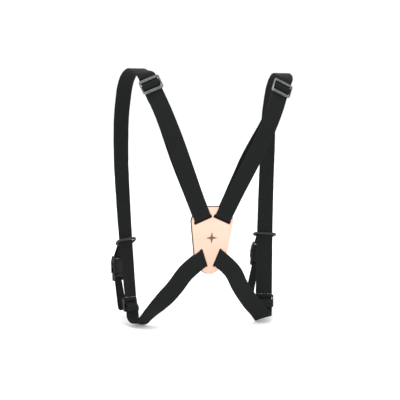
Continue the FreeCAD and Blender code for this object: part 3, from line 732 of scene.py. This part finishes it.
def slab(loops, outer, inner, outer_round, inner_round, grid, shape=None):
    """A flat piece between two levels of Y, holes and rounded rims included.

    Returns points, faces, and each point's distance from the nearest rim.
    """
    loops = sorted(loops, key=lambda loop: -abs(area(loop)))
    rings = [even_loop(loop, RIM_STEP) for loop in loops]
    low, high = rings[0].min(axis=0), rings[0].max(axis=0)
    columns = np.arange(low[0], high[0], grid)
    rows = np.arange(low[1], high[1], grid * ROW_RISE)
    field = np.array([(x + (grid / 2 if j % 2 else 0), z) for j, z in enumerate(rows) for x in columns])
    insets = []
    for number, ring in enumerate(rings):
        way = np.roll(ring, -1, axis=0) - np.roll(ring, 1, axis=0)
        side = unit(np.stack([-way[:, 1], way[:, 0]], axis=1))
        if (area(ring) > 0) != (number == 0):
            side = -side
        insets += [ring + side * depth * MM for depth in RIM_ROWS]
    field = np.vstack([field] + insets)
    rims = np.min([distance_to(field, ring) for ring in rings], axis=0)
    keep = within(field, rings) & (rims > RIM_CLEAR)
    field, rims = field[keep], rims[keep]
    flat, edges = [], []
    for ring in rings:
        base = len(flat)
        flat += list(ring)
        edges += [(base + i, base + (i + 1) % len(ring)) for i in range(len(ring))]
    border = len(flat)
    flat = np.vstack([np.array(flat), field])
    rims = np.concatenate([np.zeros(border), rims])
    made = delaunay_2d_cdt([Vector(p) for p in flat], edges, [], 0, CDT_EPSILON)
    places = np.array([tuple(p) for p in made[0]])
    rims = np.array([rims[sources[0]] if sources else 0.0 for sources in made[3]])
    middles = np.array([places[list(f)].mean(axis=0) for f in made[2]])
    triangles = [tuple(f) for f, good in zip(made[2], within(middles, rings)) if good]

    def rounding(radius):
        reach = np.clip(radius - rims, 0, radius)
        return radius - np.sqrt(np.maximum(radius ** 2 - reach ** 2, 0))

    sign = 1.0 if inner > outer else -1.0
    drop = rounding(outer_round)
    if shape is not None:
        drop = drop + shape(places, rims)
    rise = rounding(inner_round)
    front = np.stack([places[:, 0], outer + sign * drop, places[:, 1]], axis=1)
    back = np.stack([places[:, 0], inner - sign * rise, places[:, 1]], axis=1)
    count = len(places)
    faces = list(triangles) + [tuple(count + i for i in reversed(f)) for f in triangles]
    sides = dict.fromkeys(pair for a, b, c in triangles for pair in ((a, b), (b, c), (c, a)))
    faces += [(b, a, count + a, count + b) for a, b in sides if (b, a) not in sides]
    return np.vstack([front, back]), faces, np.concatenate([rims, rims])


def face_depth(star):
    """How far each point of the leather's face lies below its level, pressed star included."""
    def shape(places, rims):
        pressed = smoothstep((depth_inside(places, star) + STAR_OUT) / STAR_WALL) * STAR_DEPTH
        sunk = RIM_SINK * np.exp(-rims / RIM_REACH)
        wave = FACE_WAVE * (1 + np.sin(places[:, 0] * WAVE_X) * np.sin(places[:, 1] * WAVE_Z + 1))
        return pressed + sunk + wave
    return shape


def add_attribute(piece, name, values):
    data = piece.data.attributes.new(name, "FLOAT", "POINT")
    data.data.foreach_set("value", np.asarray(values, np.float32))


plate_low, plate_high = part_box("leather_plate")
plate_loops = face_loops("leather_plate", plate_low.y)
star_loop = min(plate_loops, key=lambda loop: np.linalg.norm(loop.mean(axis=0)))
cut_loops = [loop for loop in plate_loops if loop is not star_loop]
points, faces, rims = slab(cut_loops, plate_low.y, plate_high.y, LEATHER_ROUND, LEATHER_BACK_ROUND,
                           LEATHER_GRID, face_depth(star_loop))
plate = make_object("leather_back_plate", points, faces, LEATHER)
stamp = smoothstep((depth_inside(points[:, [0, 2]], star_loop) + STAMP_OUT) / STAMP_FADE)
stamp[len(points) // 2:] = 0.0  # the second half is the side that faces the pad
add_attribute(plate, STAMP, stamp)
add_attribute(plate, RIM, smoothstep(1 - rims / RIM_FADE))
finish_piece(plate, ["leather_plate"], "back")

pad_low, pad_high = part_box("back_pad")
pad_outline = max(face_loops("back_pad", pad_high.y), key=lambda loop: abs(area(loop)))
pad_points, pad_faces, _ = slab([pad_outline], pad_high.y, CHANNEL_FLOOR, PAD_ROUND, 0, PAD_GRID)
for loop in face_loops("back_pad", pad_low.y):
    if abs(area(loop)) < LEAST_ISLAND:
        continue
    island, island_faces, _ = slab([loop], CHANNEL_FLOOR + ISLAND_SINK, pad_low.y, 0, ISLAND_ROUND,
                                   ISLAND_GRID)
    base = len(pad_points)
    pad_points = np.vstack([pad_points, island])
    pad_faces += [tuple(base + i for i in f) for f in island_faces]
pad = make_object("lining_pad", pad_points, pad_faces, LINING)
finish_piece(pad, ["back_pad"], "back")


# ---- webbing --------------------------------------------------------------------
# Rest lengths: millimetres over which the waves come in, from a row's start and from its end.
BACK_REST = (30, 14)
TURN_REST = (3, 3)
SHOULDER_REST = (14, 3)
FRONT_REST = (3, 14)
LOWER_REST = (6, 30)
BACK_STILL = 0.035  # metres from the plate's middle, along the back webbing
CLIMB_SECTIONS = 20  # of the shoulder webbing, which don't count as being beside the ring


def lower_end_last(row):
    """The row of a tail loop, turned so that it ends with its shorter layer."""
    first = np.linalg.norm(row[0][0] - row[0][1])
    last = np.linalg.norm(row[0][-1] - row[0][-2])
    return row if first > last else [part[::-1] for part in row]


swing_axes = {joint["child"]: unit(joint["axis"]) for joint in frame["record"]["behaviour"]["joints"]
              if joint["name"].endswith("drop_swing")}

for index, side in enumerate(SIDES):
    p = side + "_"
    upper_body, lower_body = p + "upper_adjuster", p + "lower_adjuster"
    seed = 100 * (index + 1)

    # Two layers from the plate to the upper adjuster.
    for number, layer in enumerate(("outer", "inner"), 1):
        node = p + layer + "_back_web"
        row = sections(node, plate_middle)
        top = row[0][-1]
        still = plate_middle + unit(top - plate_middle) * BACK_STILL
        piece = webbing(p + layer + "_back_strap", row, seed + number, BACK_REST)
        finish_piece(piece, [node], bends=("back", upper_body, still, top))

    # The short turns round the adjusters' bars.
    for body in (upper_body, lower_body):
        where = body.removesuffix("_adjuster")
        for part in ("bight", "tail_loop"):
            node = where + "_" + part
            row = sections(node, plate_middle)
            piece = webbing(node + "_strap", row, seed + 3, TURN_REST, step=BAR_STEP, ripple=0.0)
            finish_piece(piece, [node], body)
            if part == "tail_loop":
                seam = box_stitch(node + "_stitches", lower_end_last(row))
                finish_piece(seam, [], body)

    # Over the shoulder and down to the ring, in two pieces that meet at its crest.
    shoulder = sections(p + "shoulder_web", middle(upper_body))
    front = sections(p + "lower_front_web", shoulder[0][-1])
    whole = joined(shoulder, front)
    ring_at = middle(p + "chest_ring")
    from_ring = np.abs(whole[0][:, 2] - ring_at[2])
    from_ring[:CLIMB_SECTIONS] += 1.0
    split = int(np.argmin(from_ring))
    upper_part = [part[:split + 1] for part in whole]
    lower_part = [part[split:] for part in whole]
    path = resampled(upper_part, STEP)[0]
    crest = int(np.argmax(path[:, 2]))
    piece = webbing(p + "shoulder_strap", upper_part, seed + 5, SHOULDER_REST, part=slice(0, crest + 1))
    finish_piece(piece, [p + "shoulder_web"],
                 bends=(upper_body, "back", path[0], path[crest]))
    piece = webbing(p + "front_strap", upper_part, seed + 5, SHOULDER_REST, part=slice(crest, None))
    finish_piece(piece, [p + "shoulder_web"], "back")

    # From the ring to the lower adjuster.
    upper_length = np.linalg.norm(np.diff(upper_part[0], axis=0), axis=1).sum()
    piece = webbing(p + "lower_front_strap", lower_part, seed + 6, FRONT_REST, start_at=upper_length)
    finish_piece(piece, [p + "lower_front_web"],
                 bends=("back", lower_body, front[0][0], lower_part[0][-1]))

    # Two layers from the lower adjuster to the plate, each in two pieces that meet at its lowest point.
    for layer in ("outer", "inner"):
        node = p + "lower_" + layer + "_web"
        row = sections(node, middle(lower_body))
        path = resampled(row, STEP)[0]
        foot = int(np.argmin(path[:, 2]))
        lead = unit(path[1] - path[0])
        still = path[0] + lead * np.dot(path[foot] - path[0], lead)
        turn = webbing(p + "lower_" + layer + "_turn", row, seed + 8, LOWER_REST, part=slice(0, foot + 1))
        finish_piece(turn, [node], bends=(lower_body, "back", path[0], still))
        strap = webbing(p + "lower_" + layer + "_strap", row, seed + 8, LOWER_REST, part=slice(foot, None))
        finish_piece(strap, [node], "back")

    for node, body in ((p + "drop_web", p + "drop"), (p + "lug_web", p + "plug")):
        piece = webbing_loop(node + "_strap", node, swing_axes[p + "drop"])
        finish_piece(piece, [node], body)

# The solids that still show take the material of their slot.
slots = {part["node"]: part["material_slot"] for part in frame["record"]["subparts"]}
for node, thing in frame["nodes"].items():
    material = SLOT_MATERIALS.get(slots[node])
    if material and not thing.hide_render:
        thing.data.materials.clear()
        thing.data.materials.append(material)


# ---- floor, light and camera --------------------------------------------------------
FLOOR_REACH = 30.0
FLOOR_DROP = 0.3 * MM  # below the part's lowest point
WORLD_STRENGTH = 1.08
LIGHTS = (  # name, place, width in metres, power in watts
    ("key_light", (-1.0, -1.5, 0.55), 0.9, 9.0),
    ("fill_light", (1.5, -1.0, 0.5), 1.2, 3.0),
    ("rear_light", (0.3, 1.5, 0.9), 1.2, 5.0),
    ("top_light", (-0.2, -0.1, 1.8), 0.8, 15.0),
)

# The camera that the photograph was taken with, as fitted to its picture.
AZIMUTH, ELEVATION, ROLL = math.radians(-17.62), math.radians(10.7), math.radians(2.91)
CAMERA_PLACE = (-0.4400, -1.3257, 0.3208)
FOCAL_SHARE = 999.2 / 400  # of the picture's width
SENSOR = 36.0
CLIP_START, CLIP_END = 0.05, 100.0


def area_light(name, place, aim, size, power):
    data = bpy.data.lights.new(name, "AREA")
    data.shape = "DISK"
    data.size = size
    data.energy = power
    lamp = bpy.data.objects.new(name, data)
    lamp.location = place
    lamp.rotation_euler = (Vector(aim) - Vector(place)).to_track_quat("-Z", "Y").to_euler()
    bpy.context.scene.collection.objects.link(lamp)


low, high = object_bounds()
floor_corners = [(x * FLOOR_REACH, y * FLOOR_REACH, low.z - FLOOR_DROP)
                 for x, y in ((-1, -1), (1, -1), (1, 1), (-1, 1))]
floor = make_object("floor", floor_corners, [(0, 1, 2, 3)], floor_material(), smooth=False)

for name, place, size, power in LIGHTS:
    area_light(name, place, (low + high) / 2, size, power)

world = bpy.data.worlds.new("studio")
world.use_nodes = True
background = world.node_tree.nodes["Background"]
background.inputs["Color"].default_value = (1.0, 1.0, 1.0, 1.0)
background.inputs["Strength"].default_value = WORLD_STRENGTH
bpy.context.scene.world = world
bpy.context.scene.view_settings.view_transform = "Standard"

back = Vector((math.sin(AZIMUTH) * math.cos(ELEVATION), -math.cos(AZIMUTH) * math.cos(ELEVATION),
               math.sin(ELEVATION)))
level = Vector((math.cos(AZIMUTH), math.sin(AZIMUTH), 0.0))
upright = back.cross(level)
across = level * math.cos(ROLL) + upright * math.sin(ROLL)
rising = upright * math.cos(ROLL) - level * math.sin(ROLL)
camera_data = bpy.data.cameras.new("camera")
camera_data.sensor_width = SENSOR
camera_data.lens = SENSOR * FOCAL_SHARE
camera_data.clip_start, camera_data.clip_end = CLIP_START, CLIP_END
camera = bpy.data.objects.new("camera", camera_data)
camera.matrix_world = Matrix((
    (across.x, rising.x, back.x, CAMERA_PLACE[0]),
    (across.y, rising.y, back.y, CAMERA_PLACE[1]),
    (across.z, rising.z, back.z, CAMERA_PLACE[2]),
    (0, 0, 0, 1)))
bpy.context.scene.collection.objects.link(camera)
bpy.context.scene.camera = camera
